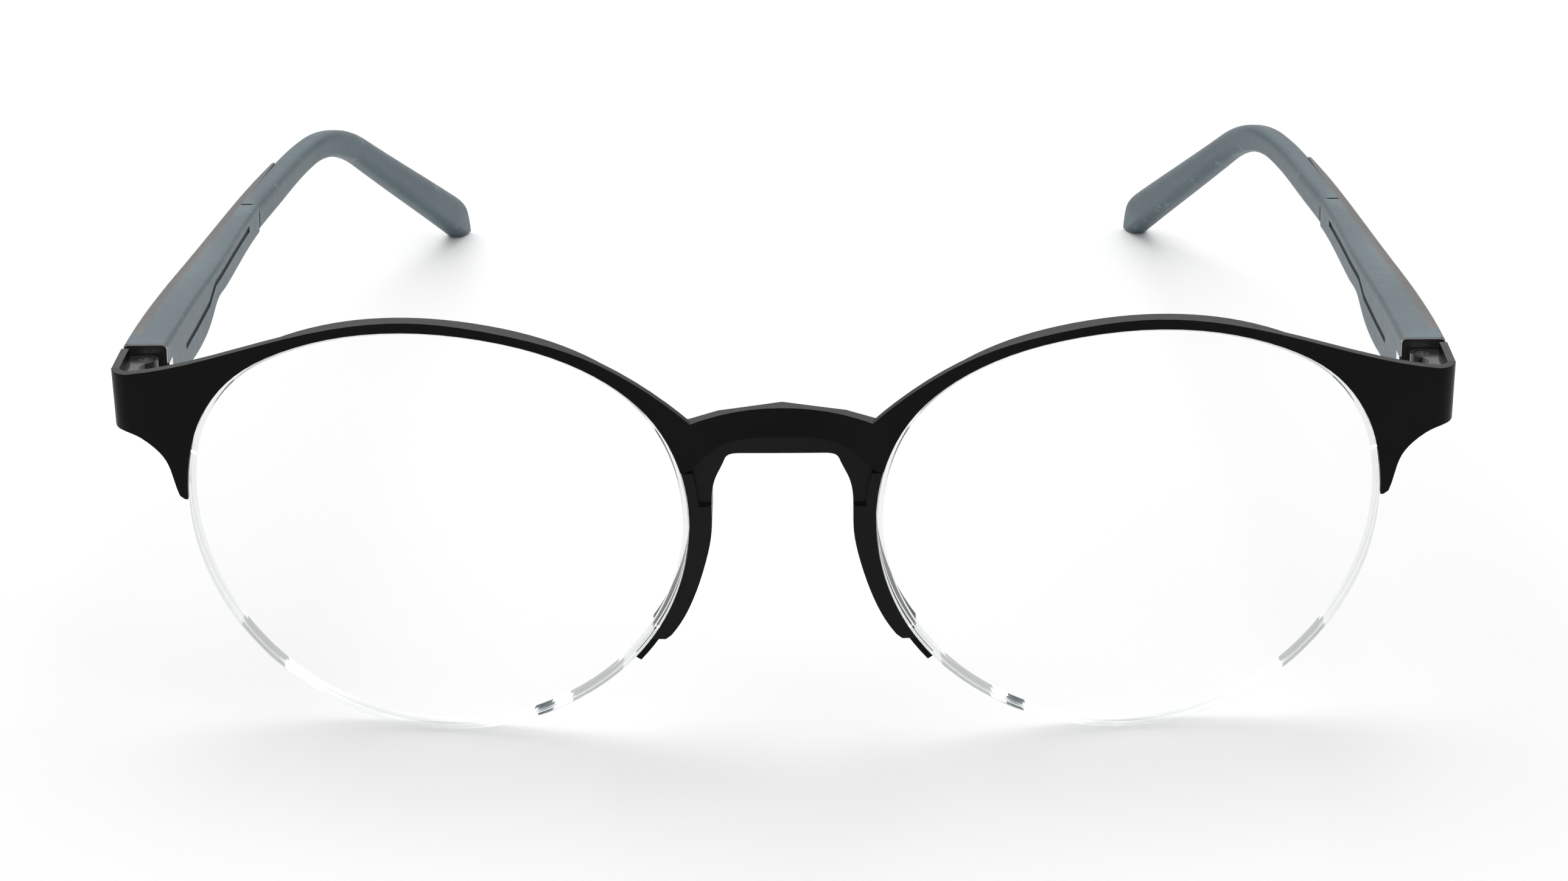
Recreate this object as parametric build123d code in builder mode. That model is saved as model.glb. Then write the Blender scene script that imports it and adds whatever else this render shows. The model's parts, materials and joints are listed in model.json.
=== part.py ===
"""Half rim eyeglasses: steel brow front, nylon-held lenses, plastic nose saddle and sprung temples.

The glasses stand open on a table. +Z is up, +Y runs back along the temples and X runs across the
face, so the front looks towards -Y and the wearer's left side is +X. The table is z = 0 and the
origin is the middle of the base. Everything is in millimetres.
"""

import os
from math import asin, cos, radians, sin, sqrt

from build123d import *

# ---------------------------------------------------------------- driving dimensions
# Stance on the table
FRONT_HEIGHT = 35.76  # height of the middle of the bridge, the front's origin
FRONT_LEAN = 3.7  # the front's top leans forward, degrees
FRONT_Y = -72.55  # the front's origin, so that the whole object is centred on y = 0
TEMPLE_SLOPE = 6.3  # the temples run down towards the back, degrees

# Brow front, one bent steel sheet. Its outline is in x and height up the front.
FACE_RADIUS = 350.0  # the front's bend across the face
SHEET = 0.8
FRONT_HALF_WIDTH = 68.4
CORNER_RADIUS = 2.3
WRAP_END = 14.95  # depth at which the wrapped ends stop
WRAP_TOP = 3.9  # height of the wrapped ends' top edge at the corner
WRAP_DROP = 1.25  # how far that edge comes down towards the hinge
BRIDGE_TOP = 3.4
NOTCH = (9.2, 1.5)  # the valley each side of the bridge
BRIDGE_RISE = (4.8, 2.92)
BROW_EDGE = [(13.0, 4.75), (20.0, 8.9), (28.0, 11.2), (37.0, 12.1), (46.0, 10.75), (56.0, 7.4), (63.0, 5.05)]
BROW_CORNER = (66.6, 4.2)
TONGUE_EDGE = [(66.3, -2.65), (64.6, -3.7), (63.2, -5.3), (62.4, -8.0)]
TONGUE_TIP = (62.0, -9.4)
BRIDGE_UNDERSIDE = [(9.3, -3.8), (8.4, -2.85), (6.8, -1.3), (4.0, -0.15)]
BRIDGE_TIP_HEIGHT = -4.1

# Lenses
LENS_CENTRE = (35.4, -12.5)
LENS_POINTS = [
    (37.0, 10.9), (48.0, 8.9), (57.0, 3.1), (61.0, -8.0), (58.8, -20.5), (50.3, -31.1),
    (37.0, -35.85), (24.2, -32.9), (13.9, -24.0), (9.6, -9.5), (13.2, 1.9), (24.4, 9.2),
]
LENS_CURVE = 175.0
LENS_THICKNESS = 2.2
LENS_BULGE = 1.2  # the middle of a lens stands this far in front of its edge
LENS_GAP = 0.1
GROOVE_DEPTH = 0.6
GROOVE_WIDTH = 0.6

# Eyewires, the half rims behind the sheet. Angles run round the lens centre from +X.
RIM_DEPTH = 1.2
RIM_HEIGHT = 0.75
RIM_START, RIM_END = 8.0, 214.5
CHANNEL_DEPTH = 0.35
LINER_START, LINER_END = 17.0, 205.0
CORD_SPAN = (206.0, 376.0)
STRIP_SIZE = 0.5  # the liner's and the nylon cord's thickness
RIM_MIDDLE = SHEET + RIM_DEPTH / 2

# Nose saddle
SADDLE_INNER = [
    (4.3, -2.15), (5.9, -3.1), (6.75, -5.0), (7.2, -10.5),
    (7.9, -14.6), (9.2, -18.8), (10.9, -22.3), (11.6, -23.3),
]
SADDLE_BOTTOM = -23.8
SADDLE_TOP = 1.4
SADDLE_BACK = 5.2
SADDLE_FRONT = 0.3  # the arms stand forward to this depth below the sheet's tips
SADDLE_LIP = 1.1  # width of the lip over the eyewire
PIN_RADIUS = 0.5
PIN_LENGTH = 2.2
PIN_PLACE = (5.5, 0.35)

# Hinges. In the hinge frame x is outward, y runs back along the temple and z is the screw's axis.
HINGE_X = 65.85
HINGE_DEPTH = 13.95
HINGE_HEIGHT = 36.0
LEAF_TOP = 2.6
EYE_HALF = 1.05
HINGE_PLAY = 0.05
BARREL_RADIUS = 1.3
BARREL_GAP = 0.35
SCREW_RADIUS = 0.45
SCREW_END = 0.3  # the screw's end stands below the lower leaf
SCREW_HEAD_RADIUS = 0.8
SCREW_HEAD = 0.55
DRIVE_SLOT = 0.22
DRIVE_LENGTH = 1.1
DRIVE_DEPTH = 0.35
BLOCK_EDGE = [(-0.8, -1.15), (0.2, -2.4), (-0.2, -4.0), (-2.2, -5.2), (-3.6, -5.5)]
BLOCK_ROOT = [(-3.6, -8.5), (3.75, -8.5), (3.75, 0.6), (0.6, 1.2)]  # cut back to the sheet's inside
PLATE_FRONT, PLATE_BACK = 1.5, 2.1  # the temple's end plate
PLATE_SIZE = (4.5, 7.15)
PLATE_MIDDLE = (0.3, 0.0)
SHANK_END = 3.6
SHANK_WIDTH = 1.4
SHANK_HEIGHT = 1.9
ROD_RADIUS = 0.4
ROD_END = 9.9
STOP_FRONT, STOP_BACK = 9.0, 9.7
STOP_RADIUS = 0.95
SPRING_RADIUS = 0.7
SPRING_WIRE = 0.17
SPRING_TURNS = 5
BOX_END = 10.9
BOX_HEIGHT = 3.5
BOX_INNER, BOX_OUTER = -1.5, 1.15
SPRING_WALL = (4.9, 5.5)
CAP_FRONT = 10.3
CAVITY_RADIUS = 1.08
SLIDE_FIT = 0.05
WINDOW_END = 4.4  # the housing shows on the temple's inner side as far as this
WINDOW_HEIGHT = 3.0
WINDOW_INNER = -2.08

# Temples. The side outline is in depth behind the front's origin and height above the table.
TEMPLE_TOP = [(14.0, 39.6), (110.0, 29.0), (150.0, 1.1)]
TEMPLE_TOP_BEND = 34.0
TEMPLE_UNDERSIDE = [(148.0, -3.65), (108.9, 26.0), (50.0, 31.7)]
TIP_END = [(139.0, 8.8), (143.2, 5.3), (145.3, 0.0)]  # the round end, from the top to the table
TEMPLE_UNDERSIDE_BEND = 31.0
TEMPLE_STEP = [(44.0, 32.2), (40.5, 31.3), (28.0, 31.65), (14.0, 32.45)]
# Depth, middle x, half thickness and the blade's share of the thickness, from the hinge to the tip
TEMPLE_STATIONS = [
    (13.0, 66.2, 2.25, 1.2),
    (22.0, 66.05, 2.3, 1.2),
    (30.0, 65.72, 2.25, 1.2),
    (38.0, 65.22, 2.18, 1.2),
    (46.0, 64.62, 2.08, 1.2),
    (58.0, 63.88, 1.8, 1.2),
    (70.0, 63.08, 1.6, 1.1),
    (82.0, 61.87, 1.63, 0.9),
    (90.0, 60.97, 1.55, 0.55),
    (98.0, 59.87, 1.53, 0.2),
    (112.0, 56.4, 1.5, 0.0),
    (130.0, 50.5, 1.5, 0.0),
    (150.0, 44.0, 1.45, 0.0),
]
INNER_EDGE_RADIUS = 0.6
OUTER_EDGE_RADIUS = 0.45
TIP_EDGE_RADIUS = 1.2
BLADE_FRONT, BLADE_END = 5.6, 76.0
SEAM = 57.0
SEAM_GAP = 0.5
SEAM_RING_SIZE = (2.0, 2.7)
SEAM_RING_PLACE = (-3.15, -1.77)  # outwards and down from the hinge's line
SLIT_PATH = [(65.0, 32.65), (54.0, 33.9), (43.5, 34.85), (39.8, 33.95), (33.0, 34.15), (26.5, 34.65)]
SLIT_WIDTH = 0.7
SLIT_DEPTH = 0.9
INLAY_SINK = 0.2
CORE_PATH = [(66.0, 31.85), (109.6, 27.4), (135.0, 8.7)]
CORE_BEND = 32.5
CORE_WIDTH = 1.1
CORE_INSET = 0.7

REACH = 60.0  # half size of the slabs and prisms that shapes are cut from

# ---------------------------------------------------------------- planes
LEAN = radians(FRONT_LEAN)
SLOPE = radians(TEMPLE_SLOPE)
# front: x is X, y runs up the leaning front, and depth is counted behind it.
front = Plane(origin=(0, FRONT_Y, FRONT_HEIGHT), x_dir=(1, 0, 0), z_dir=(0, -cos(LEAN), -sin(LEAN)))
# front_plan: x is X, y is depth. front_side: x is depth, y runs up the front.
front_plan = Plane(origin=front.origin, x_dir=(1, 0, 0), z_dir=(0, -sin(LEAN), cos(LEAN)))
front_side = Plane(origin=front.origin, x_dir=(0, cos(LEAN), sin(LEAN)), z_dir=(1, 0, 0))
# temple_side: x is depth, y is height above the table. temple_plan: x is X, y is depth.
temple_side = Plane(origin=(0, FRONT_Y, 0), x_dir=(0, 1, 0), z_dir=(1, 0, 0))
temple_plan = Plane(origin=(0, FRONT_Y, 0), x_dir=(1, 0, 0), z_dir=(0, 0, 1))
hinge = Plane(
    origin=(HINGE_X, FRONT_Y + HINGE_DEPTH, HINGE_HEIGHT),
    x_dir=(1, 0, 0),
    z_dir=(0, sin(SLOPE), cos(SLOPE)),
)


def across_temple(distance):
    """The plane across the temple at a distance behind the hinge: x is outward and y is down."""
    return Plane(
        origin=hinge.from_local_coords((0, distance, 0)),
        x_dir=(1, 0, 0),
        z_dir=hinge.y_dir,
    )


# ---------------------------------------------------------------- shared shapes
def bent_layer(near, far):
    """A sketch of the layer between two depths behind the bent front surface."""
    with BuildSketch(front_plan) as layer:
        with Locations((0, FACE_RADIUS)):
            Circle(FACE_RADIUS - near)
            Circle(FACE_RADIUS - far, mode=Mode.SUBTRACT)
    return layer.sketch


def lens_region(grow):
    """The lens outline, grown outwards."""
    steps = 24
    with BuildLine(mode=Mode.PRIVATE):
        curve = Spline(*LENS_POINTS, periodic=True)
    points = []
    for i in range(steps):
        outward = (curve % (i / steps)).rotate(Axis.Z, 90)
        points.append((curve @ (i / steps)) + outward * grow)
    with BuildSketch() as region:
        with BuildLine():
            Spline(*points, periodic=True)
        make_face()
    return region.sketch


def sector(start, end):
    """The region between two directions from the lens centre."""
    steps = 9
    turn = (end - start) / steps
    fan = [Vector(*LENS_CENTRE) + Vector(REACH, 0).rotate(Axis.Z, start + i * turn) for i in range(steps + 1)]
    with BuildSketch() as region:
        with BuildLine():
            Polyline(LENS_CENTRE, *fan, close=True)
        make_face()
    return region.sketch


def rim_strip(inner, outer, near, far, start=None, end=None):
    """A strip along the lens edge between two offsets from it, two depths and two directions."""
    with BuildPart() as strip:
        with BuildSketch(front):
            add(lens_region(outer))
            add(lens_region(inner), mode=Mode.SUBTRACT)
            if start is not None:
                add(sector(start, end), mode=Mode.INTERSECT)
        extrude(amount=-REACH / 2)
        extrude(bent_layer(near, far), amount=REACH, both=True, mode=Mode.INTERSECT)
    return strip.part


def save(piece, name):
    piece.label = name
    export_step(piece, f"parts/{name}.step")


def save_pair(piece, name):
    """Write a piece of the wearer's left side and its mirror twin."""
    with BuildPart() as twin:
        mirror(piece, about=Plane.YZ)
    save(piece, f"left_{name}")
    save(twin.part, f"right_{name}")


# ---------------------------------------------------------------- front
def make_brow_front():
    with BuildSketch(front_plan) as bend:
        corner_depth = FACE_RADIUS - sqrt(FACE_RADIUS**2 - FRONT_HALF_WIDTH**2)
        with BuildLine():
            ThreePointArc((-FRONT_HALF_WIDTH, corner_depth), (0, 0), (FRONT_HALF_WIDTH, corner_depth))
            Polyline(
                (FRONT_HALF_WIDTH, corner_depth),
                (FRONT_HALF_WIDTH, WRAP_END),
                (-FRONT_HALF_WIDTH, WRAP_END),
                (-FRONT_HALF_WIDTH, corner_depth),
            )
        make_face()
        fillet(bend.vertices().group_by(Axis.Y)[0], CORNER_RADIUS)
        offset(amount=-SHEET, mode=Mode.SUBTRACT)
        with Locations((0, WRAP_END)):
            Rectangle(2 * (FRONT_HALF_WIDTH - SHEET), 4 * SHEET, mode=Mode.SUBTRACT)
    with BuildPart() as brow:
        with BuildSketch(front):
            with BuildLine():
                ThreePointArc((0, BRIDGE_TOP), BRIDGE_RISE, NOTCH)
                Spline(NOTCH, *BROW_EDGE, BROW_CORNER)
                Polyline(BROW_CORNER, (FRONT_HALF_WIDTH + 2, WRAP_TOP), (FRONT_HALF_WIDTH + 2, -2.3), (67.5, -2.35))
                Spline((67.5, -2.35), *TONGUE_EDGE, TONGUE_TIP)
                Polyline(
                    TONGUE_TIP,
                    (61.5, -9.75),
                    (LENS_CENTRE[0] + 20, -9.75),
                    (LENS_CENTRE[0], 0),
                    (14.0, BRIDGE_TIP_HEIGHT),
                    (9.85, BRIDGE_TIP_HEIGHT),
                    BRIDGE_UNDERSIDE[0],
                )
                Spline(*BRIDGE_UNDERSIDE, (0, 0.1), tangents=[(-0.65, 0.75), (-1, 0)])
                Line((0, 0.1), (0, BRIDGE_TOP))
            make_face()
            add(lens_region(LENS_GAP), mode=Mode.SUBTRACT)
            mirror(about=Plane.YZ)
        extrude(amount=-REACH / 2)
        extrude(bend.sketch, amount=REACH, both=True, mode=Mode.INTERSECT)
        with BuildSketch(front_side):
            with BuildLine():
                Polyline(
                    (8.2, WRAP_TOP),
                    (WRAP_END + 1, WRAP_TOP - WRAP_DROP),
                    (WRAP_END + 1, BROW_CORNER[1] + 2),
                    (8.2, BROW_CORNER[1] + 2),
                    close=True,
                )
            make_face()
        extrude(amount=FRONT_HALF_WIDTH + 4, both=True, mode=Mode.SUBTRACT)
    return brow.part


def make_lens():
    """A thin meniscus whose edge carries a groove all round for the liner and the nylon cord."""
    swing = asin(LENS_CENTRE[0] / FACE_RADIUS)
    apex = FACE_RADIUS - RIM_MIDDLE + LENS_BULGE + LENS_THICKNESS / 2
    throw = apex - LENS_CURVE
    centre = front_plan.from_local_coords((throw * sin(swing), FACE_RADIUS - throw * cos(swing), LENS_CENTRE[1]))
    with BuildPart() as lens:
        with BuildSketch(front.offset(4)):
            add(lens_region(0))
        extrude(amount=-REACH / 2)
        with Locations(centre):
            Sphere(LENS_CURVE, mode=Mode.INTERSECT)
            Sphere(LENS_CURVE - LENS_THICKNESS, mode=Mode.SUBTRACT)
        groove = rim_strip(-GROOVE_DEPTH, 2.0, RIM_MIDDLE - GROOVE_WIDTH / 2, RIM_MIDDLE + GROOVE_WIDTH / 2)
        add(groove, mode=Mode.SUBTRACT)
    return lens.part


def make_eyewire():
    outer = LENS_GAP + RIM_HEIGHT
    with BuildPart() as eyewire:
        add(rim_strip(LENS_GAP, outer, SHEET, SHEET + RIM_DEPTH, RIM_START, RIM_END))
        add(
            rim_strip(0, LENS_GAP + CHANNEL_DEPTH, RIM_MIDDLE - GROOVE_WIDTH / 2, RIM_MIDDLE + GROOVE_WIDTH / 2),
            mode=Mode.SUBTRACT,
        )
    return eyewire.part


def make_rim_liner():
    """The clear strip between a lens's groove and the eyewire's channel."""
    near, far = RIM_MIDDLE - STRIP_SIZE / 2, RIM_MIDDLE + STRIP_SIZE / 2
    return rim_strip(0.05 - GROOVE_DEPTH, LENS_GAP + CHANNEL_DEPTH - 0.05, near, far, LINER_START, LINER_END)


def make_nylon_cord():
    """The nylon line that runs under the lens from one end of the eyewire to the other."""
    near, far = RIM_MIDDLE - STRIP_SIZE / 2, RIM_MIDDLE + STRIP_SIZE / 2
    return rim_strip(0.05 - GROOVE_DEPTH, -0.05, near, far, *CORD_SPAN)


def make_saddle():
    clear = LENS_GAP + RIM_HEIGHT + 0.05
    with BuildSketch() as half:
        with BuildLine():
            Polyline((0, SADDLE_TOP), (6.5, SADDLE_TOP - 1.0), (9.5, -0.6), (14.0, -0.6), (24.0, SADDLE_BOTTOM))
            Line((24.0, SADDLE_BOTTOM), (12.2, SADDLE_BOTTOM))
            Line((12.2, SADDLE_BOTTOM), SADDLE_INNER[-1])
            Spline(*SADDLE_INNER[::-1], tangents=[(-0.6, 0.8), (-1, 0)])
            Polyline(SADDLE_INNER[0], (0, SADDLE_INNER[0][1]), (0, SADDLE_TOP))
        make_face()
        add(lens_region(LENS_GAP), mode=Mode.SUBTRACT)
    with BuildSketch() as lip:
        add(half.sketch)
        add(lens_region(LENS_GAP + SADDLE_LIP), mode=Mode.INTERSECT)
        with Locations((0, BRIDGE_TIP_HEIGHT - 0.2)):
            Rectangle(REACH, REACH, align=(Align.CENTER, Align.MAX), mode=Mode.INTERSECT)
    with BuildSketch() as arm:
        add(half.sketch)
        with Locations((0, BRIDGE_TIP_HEIGHT - 4.0)):
            Rectangle(REACH, REACH, align=(Align.CENTER, Align.MAX), mode=Mode.INTERSECT)
    with BuildPart() as saddle:
        with BuildSketch(front):
            add(half.sketch)
        extrude(amount=-REACH / 2)
        extrude(bent_layer(SHEET, SADDLE_BACK), amount=REACH, both=True, mode=Mode.INTERSECT)
        add(front_pad(lip.sketch))
        add(front_pad(arm.sketch))
        add(rim_strip(LENS_GAP, clear, SHEET - 0.05, SHEET + RIM_DEPTH + 0.05), mode=Mode.SUBTRACT)
        mirror(about=Plane.YZ)
        with BuildSketch(front.offset(-SHEET)):
            with Locations(PIN_PLACE, (-PIN_PLACE[0], PIN_PLACE[1])):
                Circle(PIN_RADIUS)
        extrude(amount=-PIN_LENGTH, mode=Mode.SUBTRACT)
    return saddle.part


def front_pad(region):
    """The part of a saddle arm that stands forward beside the sheet."""
    with BuildPart() as pad:
        with BuildSketch(front):
            add(region)
        extrude(amount=-REACH / 2)
        extrude(bent_layer(SADDLE_FRONT, SHEET + 0.2), amount=REACH, both=True, mode=Mode.INTERSECT)
    return pad.part


def make_saddle_pin():
    """A pin brazed to the back of the bridge; the two of them hold the saddle."""
    with BuildPart() as pin:
        with BuildSketch(front.offset(-SHEET)):
            with Locations(PIN_PLACE):
                Circle(PIN_RADIUS)
        extrude(amount=-PIN_LENGTH + 0.1)
        extrude(bent_layer(SHEET, SADDLE_BACK), amount=REACH, both=True, mode=Mode.INTERSECT)
    return pin.part


# ---------------------------------------------------------------- hinge
def make_hinge_block():
    """Two leaves and the root that joins them, brazed into the corner of the wrapped end."""
    with BuildPart() as block:
        with BuildSketch(hinge.offset(-LEAF_TOP)):
            Circle(BARREL_RADIUS)
            with BuildLine():
                inner_edge = Spline(*BLOCK_EDGE, tangents=[(0.8, -0.6), (-1, 0)])
                Polyline(inner_edge @ 1, *BLOCK_ROOT, inner_edge @ 0)
            make_face()
        extrude(amount=2 * LEAF_TOP)
        add(inside_of_wrap(), mode=Mode.INTERSECT)
        with BuildSketch(hinge.offset(-EYE_HALF - HINGE_PLAY)):
            Circle(BARREL_RADIUS + BARREL_GAP)
        extrude(amount=2 * (EYE_HALF + HINGE_PLAY), mode=Mode.SUBTRACT)
        with BuildSketch(hinge.offset(-LEAF_TOP)):
            Circle(SCREW_RADIUS)
        extrude(amount=2 * LEAF_TOP, mode=Mode.SUBTRACT)
        with BuildSketch(hinge.offset(LEAF_TOP)):
            Circle(SCREW_HEAD_RADIUS + SLIDE_FIT)
        extrude(amount=-SCREW_HEAD, mode=Mode.SUBTRACT)
    return block.part


def inside_of_wrap():
    """The space behind the sheet and inside the wrapped ends."""
    inner = FRONT_HALF_WIDTH - SHEET
    radius = FACE_RADIUS - SHEET
    depth = FACE_RADIUS - sqrt(radius**2 - inner**2)
    with BuildPart() as space:
        with BuildSketch(front_plan) as outline:
            with BuildLine():
                ThreePointArc((-inner, depth), (0, SHEET), (inner, depth))
                Polyline((inner, depth), (inner, REACH), (-inner, REACH), (-inner, depth))
            make_face()
            fillet(outline.vertices().group_by(Axis.Y)[0], CORNER_RADIUS - SHEET)
        extrude(amount=REACH, both=True)
    return space.part


def make_hinge_screw():
    with BuildPart() as screw:
        with BuildSketch(hinge.offset(-LEAF_TOP - SCREW_END)):
            Circle(SCREW_RADIUS)
        extrude(amount=2 * LEAF_TOP + SCREW_END - SCREW_HEAD)
        with BuildSketch(hinge.offset(LEAF_TOP - SCREW_HEAD)):
            Circle(SCREW_HEAD_RADIUS)
        extrude(amount=SCREW_HEAD - 0.05)
        with BuildSketch(hinge.offset(LEAF_TOP - 0.05)):
            Rectangle(DRIVE_LENGTH, DRIVE_SLOT)
            Rectangle(DRIVE_SLOT, DRIVE_LENGTH)
        extrude(amount=-DRIVE_DEPTH, mode=Mode.SUBTRACT)
    return screw.part


def make_knuckle():
    """The eye round the screw, its square shank and the rod that carries the spring."""
    with BuildPart() as knuckle:
        with BuildSketch(hinge.offset(-EYE_HALF)):
            Circle(BARREL_RADIUS)
        extrude(amount=2 * EYE_HALF)
        with BuildSketch(across_temple(0)):
            Rectangle(SHANK_WIDTH, SHANK_HEIGHT)
        extrude(amount=SHANK_END)
        with BuildSketch(across_temple(SHANK_END)):
            Circle(ROD_RADIUS)
        extrude(amount=ROD_END - SHANK_END)
        with BuildSketch(hinge.offset(-EYE_HALF)):
            Circle(SCREW_RADIUS + HINGE_PLAY)
        extrude(amount=2 * EYE_HALF, mode=Mode.SUBTRACT)
    return knuckle.part


def make_spring_stop():
    """The nut on the end of the rod, which pulls the spring shut when the temple is flexed."""
    with BuildPart() as stop:
        with BuildSketch(across_temple(STOP_FRONT)):
            RegularPolygon(STOP_RADIUS, 6)
            Circle(ROD_RADIUS, mode=Mode.SUBTRACT)
        extrude(amount=STOP_BACK - STOP_FRONT)
    return stop.part


def make_spring():
    seat = SPRING_WALL[1] + SPRING_WIRE + 0.02
    length = STOP_FRONT - SPRING_WIRE - 0.02 - seat
    with BuildPart() as spring:
        with BuildLine() as path:
            Helix(length / SPRING_TURNS, length, SPRING_RADIUS, hinge.from_local_coords((0, seat, 0)), hinge.y_dir)
        with BuildSketch(Plane(origin=path.line @ 0, z_dir=path.line % 0)):
            Circle(SPRING_WIRE)
        sweep(is_frenet=True)
    return spring.part


def make_spring_box():
    """The metal housing inside the temple, which guides the shank and backs the spring."""
    with BuildPart() as box:
        with BuildSketch(across_temple(PLATE_BACK)):
            with Locations(((BOX_INNER + BOX_OUTER) / 2, 0)):
                Rectangle(BOX_OUTER - BOX_INNER, BOX_HEIGHT)
        extrude(amount=BOX_END - PLATE_BACK)
        with BuildSketch(across_temple(PLATE_BACK)):
            with Locations((WINDOW_INNER, 0)):
                Rectangle(1.0, WINDOW_HEIGHT, align=(Align.MIN, Align.CENTER))
        extrude(amount=WINDOW_END - PLATE_BACK)
        with BuildSketch(across_temple(PLATE_BACK)):
            Rectangle(SHANK_WIDTH + 2 * SLIDE_FIT, SHANK_HEIGHT + 2 * SLIDE_FIT)
        extrude(amount=SPRING_WALL[0] - PLATE_BACK, mode=Mode.SUBTRACT)
        with BuildSketch(across_temple(PLATE_BACK)):
            Circle(ROD_RADIUS + SLIDE_FIT)
        extrude(amount=BOX_END - PLATE_BACK, mode=Mode.SUBTRACT)
        with BuildSketch(across_temple(SPRING_WALL[1])):
            Circle(CAVITY_RADIUS)
        extrude(amount=BOX_END - SPRING_WALL[1], mode=Mode.SUBTRACT)
    return box.part


def make_box_cap():
    with BuildPart() as cap:
        with BuildSketch(across_temple(CAP_FRONT)):
            Circle(CAVITY_RADIUS)
        extrude(amount=BOX_END - CAP_FRONT)
    return cap.part


def make_end_plate():
    """The polished plate that closes the front end of the temple, with a window for the shank."""
    with BuildPart() as plate:
        with BuildSketch(across_temple(PLATE_FRONT)):
            with Locations(PLATE_MIDDLE):
                RectangleRounded(*PLATE_SIZE, 0.5)
        extrude(amount=PLATE_BACK - PLATE_FRONT)
        with BuildSketch(across_temple(PLATE_FRONT)):
            Rectangle(SHANK_WIDTH + 2 * SLIDE_FIT, SHANK_HEIGHT + 2 * SLIDE_FIT)
        extrude(amount=PLATE_BACK - PLATE_FRONT, mode=Mode.SUBTRACT)
    return plate.part


# ---------------------------------------------------------------- temple
def side_outline():
    """The temple seen from its side, with both ends left long."""
    with BuildSketch(temple_side) as outline:
        with BuildLine():
            FilletPolyline(*TEMPLE_TOP, radius=TEMPLE_TOP_BEND)
            Line(TEMPLE_TOP[-1], TEMPLE_UNDERSIDE[0])
            underside = FilletPolyline(*TEMPLE_UNDERSIDE, radius=TEMPLE_UNDERSIDE_BEND)
            Spline(underside @ 1, *TEMPLE_STEP, tangents=[underside % 1, (-1, 0.05)])
            Line(TEMPLE_STEP[-1], TEMPLE_TOP[0])
        make_face()
    return outline.sketch


def plan_band(inner, outer):
    """The region of the temple's plan between two lines of points."""
    with BuildSketch(temple_plan) as band:
        with BuildLine():
            Spline(*inner)
            Line(inner[-1], outer[-1])
            Spline(*outer[::-1])
            Line(outer[0], inner[0])
        make_face()
    return band.sketch


def inner_line(inset):
    return [(x - half + inset, depth) for depth, x, half, _ in TEMPLE_STATIONS]


def outer_line(inset):
    return [(x + half - inset, depth) for depth, x, half, _ in TEMPLE_STATIONS]


def blade_line():
    return [(x + half - share, depth) for depth, x, half, share in TEMPLE_STATIONS]


def make_temple_stretch(start, end, inner_radius, outer_radius):
    """A stretch of the temple with rounded edges, between two distances behind the hinge."""
    with BuildPart() as stretch:
        extrude(side_outline(), amount=FRONT_HALF_WIDTH + 10)
        extrude(plan_band(inner_line(0), outer_line(0)), amount=REACH, both=True, mode=Mode.INTERSECT)
        keep_stretch(start, end)
        fillet(long_edges(stretch, 0), inner_radius)
        fillet(long_edges(stretch, 1), outer_radius)
    return stretch.part


def keep_stretch(start, end):
    """Keep only what lies between two distances behind the hinge."""
    with BuildSketch(across_temple(start)) as section:
        Rectangle(4 * REACH, 4 * REACH)
    extrude(section.sketch, amount=end - start, mode=Mode.INTERSECT)


def long_edges(stretch, side):
    """The long edges of the temple's inner (0) or outer (1) face."""
    flanks = stretch.faces().sort_by(SortBy.AREA)[-2:].sort_by(Axis.X)
    return [edge for edge in flanks[side].edges() if edge.length > 8]


def make_fore_body():
    """The squarer front of the temple, from which the cover and the blade are cut."""
    return make_temple_stretch(PLATE_BACK, BLADE_END, INNER_EDGE_RADIUS, OUTER_EDGE_RADIUS)


def make_tip_body():
    """The rounder rear of the temple, with its end rounded down to the table."""
    with BuildPart() as rear:
        add(make_temple_stretch(SEAM - SEAM_GAP / 2, 2 * REACH + 20, TIP_EDGE_RADIUS, TIP_EDGE_RADIUS))
        with BuildSketch(temple_side):
            with BuildLine():
                ThreePointArc(*TIP_END)
                Polyline(TIP_END[-1], (40.0, 0.0), (40.0, 40.0), (100.0, 40.0), TIP_END[0])
            make_face()
        extrude(amount=FRONT_HALF_WIDTH + 10, mode=Mode.INTERSECT)
    return rear.part


def banded(path, width, inner, outer):
    """A strip that follows a path in the side view, between two lines in the plan."""
    with BuildPart() as strip:
        with BuildSketch(temple_side):
            with BuildLine():
                Polyline(*path)
            trace(line_width=width)
        extrude(amount=FRONT_HALF_WIDTH + 10)
        extrude(plan_band(inner, outer), amount=REACH, mode=Mode.INTERSECT)
    return strip.part


def blade_space():
    """All that lies outward of the blade's inner face, between its two ends."""
    with BuildPart() as space:
        extrude(plan_band(blade_line(), outer_line(-3)), amount=REACH)
        keep_stretch(BLADE_FRONT, BLADE_END)
    return space.part


def make_blade(fore):
    """The dark outer strip, squared off near the hinge and tapering away past the seam."""
    with BuildPart() as blade:
        add(fore)
        add(blade_space(), mode=Mode.INTERSECT)
    return blade.part


def make_cover(fore):
    """The blue-grey inner side of the temple from the end plate to the seam."""
    with BuildPart() as cover:
        add(fore)
        keep_stretch(PLATE_BACK, SEAM - SEAM_GAP / 2)
        add(blade_space(), mode=Mode.SUBTRACT)
        add(make_box_space(), mode=Mode.SUBTRACT)
        add(banded(SLIT_PATH, SLIT_WIDTH, inner_line(-1), inner_line(SLIT_DEPTH)), mode=Mode.SUBTRACT)
        add(make_core_wire(), mode=Mode.SUBTRACT)
    return cover.part


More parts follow.
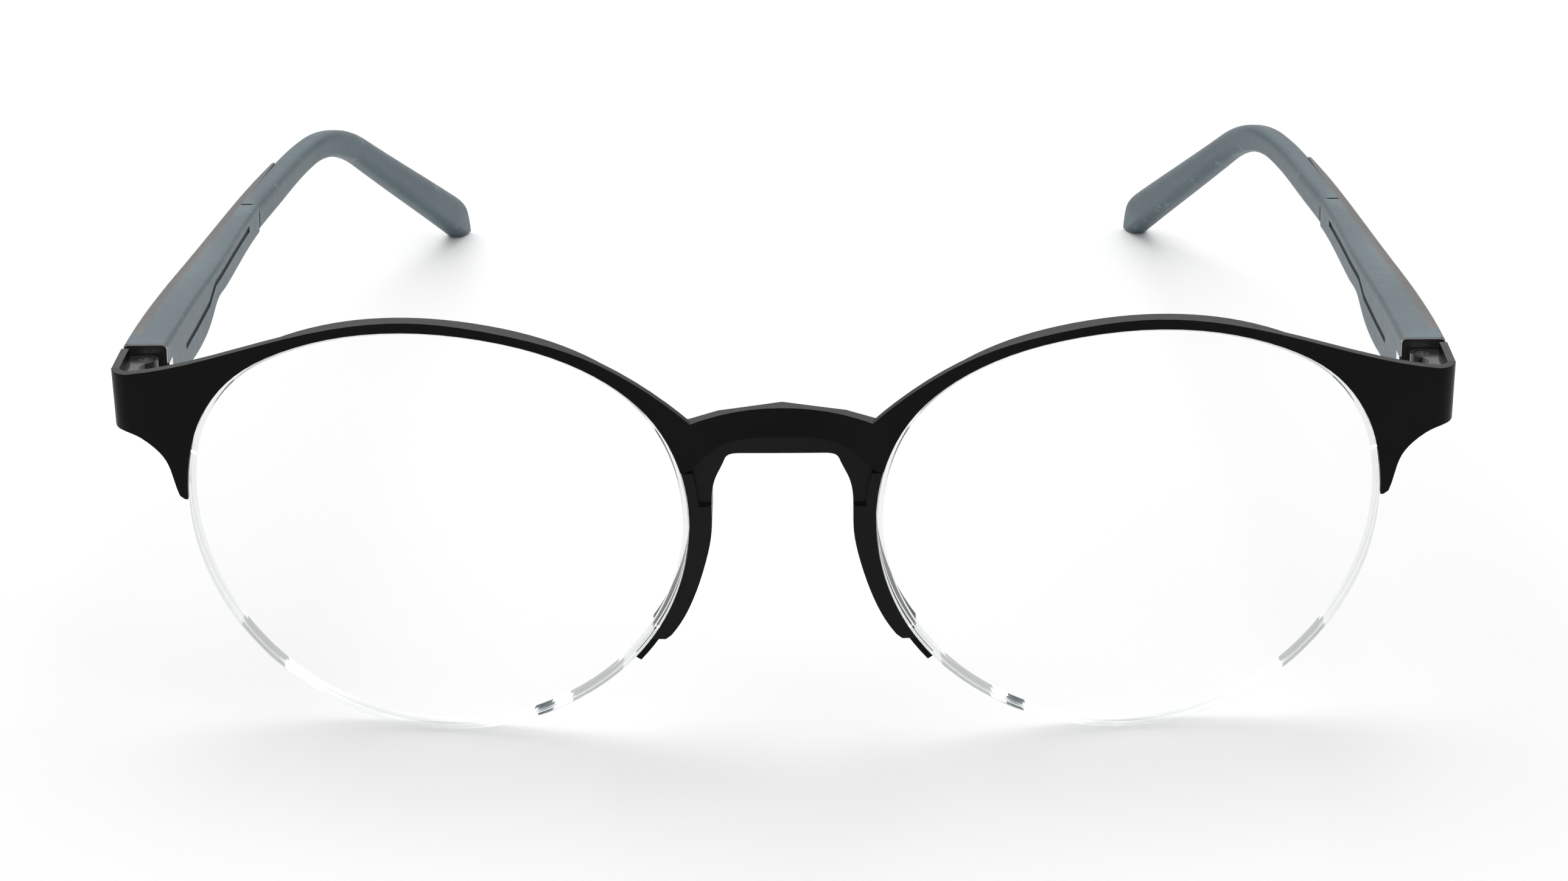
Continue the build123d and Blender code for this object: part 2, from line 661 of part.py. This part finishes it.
def make_box_space():
    """The pocket in the cover that takes the spring housing, with its window on the inner side."""
    with BuildPart() as space:
        with BuildSketch(across_temple(PLATE_BACK)):
            with Locations(((BOX_INNER + BOX_OUTER) / 2, 0)):
                Rectangle(BOX_OUTER - BOX_INNER, BOX_HEIGHT)
        extrude(amount=BOX_END - PLATE_BACK)
        with BuildSketch(across_temple(PLATE_BACK)):
            with Locations((BOX_INNER, 0)):
                Rectangle(2.0, WINDOW_HEIGHT)
        extrude(amount=WINDOW_END - PLATE_BACK)
    return space.part


def make_slit_inlay():
    return banded(SLIT_PATH, SLIT_WIDTH, inner_line(INLAY_SINK), inner_line(SLIT_DEPTH))


def make_core_wire():
    """The steel wire hidden in the temple tip, which lets an optician bend it."""
    with BuildPart() as wire:
        with BuildSketch(temple_side):
            with BuildLine():
                FilletPolyline(*CORE_PATH, radius=CORE_BEND)
            trace(line_width=CORE_WIDTH)
        extrude(amount=FRONT_HALF_WIDTH + 10)
        extrude(
            plan_band(inner_line(CORE_INSET), inner_line(CORE_INSET + CORE_WIDTH)),
            amount=REACH,
            mode=Mode.INTERSECT,
        )
    return wire.part


def make_seam_ring():
    """The dark washer between the cover and the tip, set back from their surface."""
    with BuildPart() as ring:
        with BuildSketch(across_temple(SEAM - SEAM_GAP / 2)):
            with Locations(SEAM_RING_PLACE):
                RectangleRounded(*SEAM_RING_SIZE, 0.4)
        extrude(amount=SEAM_GAP)
        add(blade_space(), mode=Mode.SUBTRACT)
        add(make_core_wire(), mode=Mode.SUBTRACT)
    return ring.part


def make_tip(rear):
    """The soft rear sleeve, which bends down behind the ear."""
    with BuildPart() as tip:
        add(rear)
        keep_stretch(SEAM + SEAM_GAP / 2, 2 * REACH + 20)
        add(blade_space(), mode=Mode.SUBTRACT)
        add(make_core_wire(), mode=Mode.SUBTRACT)
    return tip.part


os.makedirs("parts", exist_ok=True)
save(make_brow_front(), "brow_front")
save(make_saddle(), "nose_saddle")
save_pair(make_saddle_pin(), "saddle_pin")
save_pair(make_lens(), "lens")
save_pair(make_eyewire(), "eyewire")
save_pair(make_rim_liner(), "rim_liner")
save_pair(make_nylon_cord(), "nylon_cord")
save_pair(make_hinge_block(), "hinge_block")
save_pair(make_hinge_screw(), "hinge_screw")
save_pair(make_knuckle(), "hinge_knuckle")
save_pair(make_spring_stop(), "spring_stop")
save_pair(make_spring(), "hinge_spring")
save_pair(make_spring_box(), "spring_box")
save_pair(make_box_cap(), "box_cap")
save_pair(make_end_plate(), "end_plate")
fore_body = make_fore_body()
save_pair(make_blade(fore_body), "temple_blade")
save_pair(make_cover(fore_body), "temple_cover")
save_pair(make_seam_ring(), "seam_ring")
save_pair(make_tip(make_tip_body()), "temple_tip")
save_pair(make_slit_inlay(), "slit_inlay")
save_pair(make_core_wire(), "core_wire")
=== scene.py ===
"""Looks of the half rim eyeglasses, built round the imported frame."""

import json
import math

import bpy
from mathutils import Matrix, Vector

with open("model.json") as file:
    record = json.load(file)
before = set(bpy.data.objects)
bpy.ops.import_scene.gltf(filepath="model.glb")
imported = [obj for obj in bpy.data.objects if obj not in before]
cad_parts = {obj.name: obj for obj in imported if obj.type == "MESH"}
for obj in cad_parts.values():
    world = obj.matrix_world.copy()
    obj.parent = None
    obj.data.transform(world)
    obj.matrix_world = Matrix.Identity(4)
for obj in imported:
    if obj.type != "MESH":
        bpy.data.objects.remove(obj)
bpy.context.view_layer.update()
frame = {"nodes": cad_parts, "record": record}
nodes = frame["nodes"]

# ---------------------------------------------------------------- driving values, metres and degrees
FRONT_LEAN = 3.7  # the front's top leans forward
CLEAR_IOR = 1.15  # low, because the lenses are coated against reflection
STEEL_EDGE = 0.00012  # how far the sheet's edges are eased, for the light that they catch
SADDLE_EDGE = 0.00018
CAMERA_AIM = (0.00025, -0.07255, 0.0355)  # the middle of the bridge
CAMERA_DISTANCE = 0.430
CAMERA_AZIMUTH, CAMERA_ELEVATION, CAMERA_ROLL = 0.9, 24.7, -0.65
CAMERA_LENS = 98.30124  # millimetres, on a sensor 36 mm wide
SENSOR_WIDTH = 36.0
LAMP_AIM = (0, 0, 0.02)
# Name, place, width and height, power in watts
LAMPS = [
    ("key", (-0.15, 0.35, 0.9), (1.1, 0.9), 5.0),
    ("fill", (0.5, -0.3, 0.7), (0.7, 0.7), 0.8),
    ("back", (0.0, 0.8, 0.45), (1.2, 0.4), 2.0),
]
SKY_STRENGTH = 0.62
FLOOR_SIZE = 8.0
FLOOR_DROP = 0.0002  # the floor lies this far below the glasses


# ---------------------------------------------------------------- node helpers
class Mat:
    """A node material with short ways to add the nodes used here."""

    def __init__(self, name):
        self.mat = bpy.data.materials.new(name)
        self.mat.use_nodes = True
        self.nodes = self.mat.node_tree.nodes
        self.links = self.mat.node_tree.links
        self.bsdf = self.nodes["Principled BSDF"]
        self.out = self.nodes["Material Output"]
        coords = self.nodes.new("ShaderNodeTexCoord")
        self.place = coords.outputs["Object"]
        self.geometry = self.nodes.new("ShaderNodeNewGeometry")

    def link(self, source, target):
        self.links.new(source, target)

    def fixed(self, **values):
        for key, value in values.items():
            self.bsdf.inputs[key.replace("_", " ")].default_value = value

    def noise(self, scale, detail=3.0, stretch=None):
        tex = self.nodes.new("ShaderNodeTexNoise")
        tex.inputs["Scale"].default_value = scale
        tex.inputs["Detail"].default_value = detail
        self.link(self.mapped(stretch), tex.inputs["Vector"])
        return tex.outputs["Fac"]

    def cells(self, scale):
        tex = self.nodes.new("ShaderNodeTexVoronoi")
        tex.inputs["Scale"].default_value = scale
        self.link(self.place, tex.inputs["Vector"])
        return tex.outputs["Distance"]

    def mapped(self, stretch):
        if stretch is None:
            return self.place
        mapping = self.nodes.new("ShaderNodeMapping")
        mapping.inputs["Scale"].default_value = stretch
        self.link(self.place, mapping.inputs["Vector"])
        return mapping.outputs["Vector"]

    def ramp(self, source, *stops):
        ramp = self.nodes.new("ShaderNodeValToRGB")
        while len(ramp.color_ramp.elements) < len(stops):
            ramp.color_ramp.elements.new(0.5)
        for element, (position, colour) in zip(ramp.color_ramp.elements, stops):
            element.position = position
            element.color = (*colour, 1.0)
        self.link(source, ramp.inputs["Fac"])
        return ramp.outputs["Color"]

    def span(self, source, low, high, start=0.0, end=1.0):
        node = self.nodes.new("ShaderNodeMapRange")
        node.inputs["From Min"].default_value = start
        node.inputs["From Max"].default_value = end
        node.inputs["To Min"].default_value = low
        node.inputs["To Max"].default_value = high
        self.link(source, node.inputs["Value"])
        return node.outputs["Result"]

    def blend(self, factor, first, second):
        """Mixes a colour socket with a plain second colour."""
        node = self.nodes.new("ShaderNodeMix")
        node.data_type = "RGBA"
        first_colour, second_colour = node.inputs[6], node.inputs[7]
        self.link(factor, node.inputs["Factor"])
        self.link(first, first_colour)
        second_colour.default_value = (*second, 1.0)
        return node.outputs[2]

    def edges(self, low=0.52, high=0.62):
        """Painted highlight: brighter on sharp outer edges, where light catches them."""
        return self.span(self.geometry.outputs["Pointiness"], 0.0, 1.0, low, high)

    def upward(self, low=0.5, high=0.95):
        """Painted light: brighter where the surface faces up, as if lit from above, used on the top
        edges of a sheet.
        """
        normal = self.nodes.new("ShaderNodeSeparateXYZ")
        self.link(self.geometry.outputs["True Normal"], normal.inputs["Vector"])
        return self.span(normal.outputs["Z"], 0.0, 1.0, low, high)

    def bumps(self, *layers, eased=None):
        """Stacks (height, strength, distance) layers of bump, on edges eased by a radius."""
        previous = None
        if eased is not None:
            bevel = self.nodes.new("ShaderNodeBevel")
            bevel.samples = 6
            bevel.inputs["Radius"].default_value = eased
            previous = bevel.outputs["Normal"]
        for height, strength, distance in layers:
            bump = self.nodes.new("ShaderNodeBump")
            bump.inputs["Strength"].default_value = strength
            bump.inputs["Distance"].default_value = distance
            self.link(height, bump.inputs["Height"])
            if previous is not None:
                self.link(previous, bump.inputs["Normal"])
            previous = bump.outputs["Normal"]
        self.link(previous, self.bsdf.inputs["Normal"])

    def colour(self, source):
        self.link(source, self.bsdf.inputs["Base Color"])

    def roughness(self, source):
        self.link(source, self.bsdf.inputs["Roughness"])


# ---------------------------------------------------------------- materials
def black_steel():
    m = Mat("black_steel")
    m.fixed(Specular_IOR_Level=0.07)
    cloud = m.noise(90, 4)
    base = m.ramp(cloud, (0.3, (0.0022, 0.0022, 0.0021)), (0.7, (0.0042, 0.0042, 0.004)))
    # Painted light: the sheet's up-facing top edges are made lighter grey, as if lit from above.
    m.colour(m.blend(m.upward(), base, (0.045, 0.045, 0.045)))
    m.roughness(m.span(m.noise(700, 3), 0.30, 0.42))
    m.bumps((m.noise(2600, 2), 0.12, 0.00004), (m.noise(240, 2), 0.05, 0.0002), eased=STEEL_EDGE)
    return m.mat


def saddle_black():
    m = Mat("saddle_black")
    m.fixed(Specular_IOR_Level=0.12)
    cloud = m.noise(120, 3)
    base = m.ramp(cloud, (0.3, (0.003, 0.003, 0.003)), (0.75, (0.0055, 0.0055, 0.0055)))
    # Painted light: the saddle's up-facing surfaces are made lighter, as if lit from above.
    m.colour(m.blend(m.upward(0.4, 1.0), base, (0.012, 0.012, 0.012)))
    m.roughness(m.span(m.noise(900, 3), 0.24, 0.34))
    m.bumps((m.cells(3200), 0.16, 0.00003), (m.noise(500, 3), 0.06, 0.0001), eased=SADDLE_EDGE)
    return m.mat


def temple_grey():
    m = Mat("temple_grey")
    m.fixed(Metallic=0.4, Specular_IOR_Level=0.35)
    cloud = m.noise(60, 4)
    base = m.ramp(cloud, (0.3, (0.062, 0.094, 0.11)), (0.7, (0.074, 0.11, 0.128)))
    # Painted highlight: the temple's sharp ridges and edges are lightened to a pale blue-grey.
    m.colour(m.blend(m.edges(0.53, 0.64), base, (0.12, 0.165, 0.187)))
    m.roughness(m.span(m.noise(800, 3), 0.36, 0.48))
    m.bumps((m.noise(3000, 2), 0.16, 0.00004), (m.noise(260, 2), 0.05, 0.0002))
    return m.mat


def blade_taupe():
    m = Mat("blade_taupe")
    m.fixed(Metallic=0.5, Specular_IOR_Level=0.4, Coat_Weight=0.1, Coat_Roughness=0.2)
    grain = m.noise(500, 3, stretch=(14, 1, 14))
    base = m.ramp(grain, (0.3, (0.048, 0.044, 0.041)), (0.7, (0.066, 0.061, 0.057)))
    # Painted highlight: the blade's sharp edges are lightened.
    m.colour(m.blend(m.edges(), base, (0.12, 0.112, 0.106)))
    m.roughness(m.span(m.noise(900, 3), 0.30, 0.42))
    m.bumps((m.noise(1500, 2, stretch=(6, 1, 6)), 0.08, 0.00004))
    return m.mat


def inlay_black():
    m = Mat("inlay_black")
    m.fixed(Specular_IOR_Level=0.4)
    m.colour(m.ramp(m.noise(150, 3), (0.3, (0.012, 0.012, 0.012)), (0.7, (0.02, 0.02, 0.02))))
    m.roughness(m.span(m.noise(700, 3), 0.45, 0.6))
    m.bumps((m.noise(2500, 2), 0.15, 0.00004))
    return m.mat


def hinge_black():
    m = Mat("hinge_black")
    m.fixed(Specular_IOR_Level=0.4, Coat_Weight=0.25, Coat_Roughness=0.05)
    base = m.ramp(m.noise(140, 3), (0.3, (0.005, 0.005, 0.005)), (0.7, (0.009, 0.009, 0.009)))
    # Painted highlight: the hinge's sharp edges are lightened to dark grey.
    m.colour(m.blend(m.edges(), base, (0.03, 0.03, 0.03)))
    m.roughness(m.span(m.noise(600, 3), 0.12, 0.2))
    m.bumps((m.noise(900, 2), 0.02, 0.00003))
    return m.mat


def polished_steel(name, dark, light, low, high):
    m = Mat(name)
    m.fixed(Metallic=1.0)
    scratches = m.noise(900, 3, stretch=(1, 9, 9))
    m.colour(m.ramp(scratches, (0.3, dark), (0.7, light)))
    m.roughness(m.span(m.noise(1100, 3, stretch=(1, 6, 6)), low, high))
    m.bumps((scratches, 0.05, 0.00003))
    return m.mat


def see_through(m, body, tint, sheen, rough):
    """Lets the view through the surface, with a Fresnel gloss and a share of solid body."""
    clear = m.nodes.new("ShaderNodeBsdfTransparent")
    m.link(m.ramp(m.noise(40, 2), (0.3, tint[0]), (0.7, tint[1])), clear.inputs["Color"])
    gloss = m.nodes.new("ShaderNodeBsdfGlossy")
    gloss.inputs["Color"].default_value = (*sheen, 1.0)
    m.link(m.span(m.noise(300, 3), *rough), gloss.inputs["Roughness"])
    fresnel = m.nodes.new("ShaderNodeFresnel")
    fresnel.inputs["IOR"].default_value = CLEAR_IOR
    pane = m.nodes.new("ShaderNodeMixShader")
    m.link(fresnel.outputs["Fac"], pane.inputs["Fac"])
    m.link(clear.outputs["BSDF"], pane.inputs[1])
    m.link(gloss.outputs["BSDF"], pane.inputs[2])
    whole = m.nodes.new("ShaderNodeMixShader")
    m.link(body, whole.inputs["Fac"])
    m.link(pane.outputs["Shader"], whole.inputs[1])
    m.link(m.bsdf.outputs["BSDF"], whole.inputs[2])
    m.link(whole.outputs["Shader"], m.out.inputs["Surface"])


def clear_nylon():
    m = Mat("clear_nylon")
    m.fixed(Specular_IOR_Level=0.5)
    m.colour(m.ramp(m.noise(200, 2), (0.3, (0.72, 0.73, 0.73)), (0.7, (0.82, 0.83, 0.83))))
    m.roughness(m.span(m.noise(900, 2), 0.18, 0.32))
    m.bumps((m.noise(1500, 2), 0.08, 0.00004))
    body = m.span(m.noise(600, 2), 0.05, 0.09)
    tint = ((0.97, 0.975, 0.975), (0.985, 0.99, 0.99))
    see_through(m, body, tint, (0.96, 0.97, 0.97), (0.08, 0.16))
    return m.mat


def lens_clear():
    """Clear lens: its two faces let the view through and its ground edge is faintly frosted."""
    m = Mat("lens_clear")
    lean = math.radians(FRONT_LEAN)
    facing = m.nodes.new("ShaderNodeVectorMath")
    facing.operation = "DOT_PRODUCT"
    m.link(m.geometry.outputs["True Normal"], facing.inputs[0])
    facing.inputs[1].default_value = (0.0, -math.cos(lean), -math.sin(lean))
    either_face = m.nodes.new("ShaderNodeMath")
    either_face.operation = "ABSOLUTE"
    m.link(facing.outputs["Value"], either_face.inputs[0])
    m.colour(m.ramp(m.noise(500, 2), (0.3, (0.40, 0.41, 0.41)), (0.7, (0.48, 0.49, 0.49))))
    m.roughness(m.span(m.noise(900, 2), 0.3, 0.45))
    m.bumps((m.noise(2500, 2), 0.1, 0.00003))
    rim = m.span(either_face.outputs["Value"], 0.16, 0.0, 0.35, 0.75)
    tint = ((0.994, 0.995, 0.994), (0.997, 0.998, 0.997))
    see_through(m, rim, tint, (0.95, 0.965, 0.96), (0.015, 0.04))
    return m.mat


looks = {
    "black_steel": black_steel(),
    "saddle_black": saddle_black(),
    "temple_grey": temple_grey(),
    "blade_taupe": blade_taupe(),
    "inlay_black": inlay_black(),
    "hinge_black": hinge_black(),
    "hinge_steel": polished_steel("hinge_steel", (0.72, 0.73, 0.74), (0.86, 0.87, 0.88), 0.12, 0.22),
    "spring_steel": polished_steel("spring_steel", (0.42, 0.42, 0.43), (0.56, 0.56, 0.57), 0.25, 0.38),
    "clear_nylon": clear_nylon(),
    "lens_clear": lens_clear(),
}
for part in frame["record"]["subparts"]:
    mesh = nodes[part["node"]].data
    mesh.materials.clear()
    mesh.materials.append(looks[part["material_slot"]])

# ---------------------------------------------------------------- floor, light and camera
def make_floor():
    m = Mat("floor_white")
    m.fixed(Specular_IOR_Level=0.1)
    m.colour(m.ramp(m.noise(3, 2), (0.3, (0.93, 0.93, 0.93)), (0.7, (0.95, 0.95, 0.95))))
    m.roughness(m.span(m.noise(40, 2), 0.7, 0.85))
    bpy.ops.mesh.primitive_plane_add(size=FLOOR_SIZE, location=(0, 1.0, -FLOOR_DROP))
    floor = bpy.context.object
    floor.name = "floor"
    floor.data.materials.append(m.mat)


def make_lamp(name, place, size, power):
    data = bpy.data.lights.new(name, "AREA")
    data.shape = "RECTANGLE"
    data.size, data.size_y = size
    data.energy = power
    lamp = bpy.data.objects.new(name, data)
    lamp.location = place
    lamp.rotation_mode = "QUATERNION"
    lamp.rotation_quaternion = (Vector(LAMP_AIM) - Vector(place)).to_track_quat("-Z", "Y")
    bpy.context.scene.collection.objects.link(lamp)


def make_world():
    world = bpy.data.worlds.new("studio")
    world.use_nodes = True
    background = world.node_tree.nodes["Background"]
    background.inputs["Color"].default_value = (1.0, 1.0, 1.0, 1.0)
    background.inputs["Strength"].default_value = SKY_STRENGTH
    bpy.context.scene.world = world


def make_camera():
    azimuth, elevation, roll = map(math.radians, (CAMERA_AZIMUTH, CAMERA_ELEVATION, CAMERA_ROLL))
    level = math.cos(elevation)
    forward = Vector((-math.sin(azimuth) * level, math.cos(azimuth) * level, -math.sin(elevation)))
    side = Vector((math.cos(azimuth), math.sin(azimuth), 0.0))
    upward = side.cross(forward)
    right = side * math.cos(roll) + upward * math.sin(roll)
    up = upward * math.cos(roll) - side * math.sin(roll)
    data = bpy.data.cameras.new("camera")
    data.sensor_width = SENSOR_WIDTH
    data.lens = CAMERA_LENS
    data.clip_start, data.clip_end = 0.01, 20.0
    camera = bpy.data.objects.new("camera", data)
    turn = Matrix((right, up, -forward)).transposed()
    place = Vector(CAMERA_AIM) - forward * CAMERA_DISTANCE
    camera.matrix_world = Matrix.Translation(place) @ turn.to_4x4()
    bpy.context.scene.collection.objects.link(camera)
    bpy.context.scene.camera = camera


make_floor()
make_world()
for name, place, size, power in LAMPS:
    make_lamp(name, place, size, power)
make_camera()
bpy.context.scene.view_settings.view_transform = "Standard"
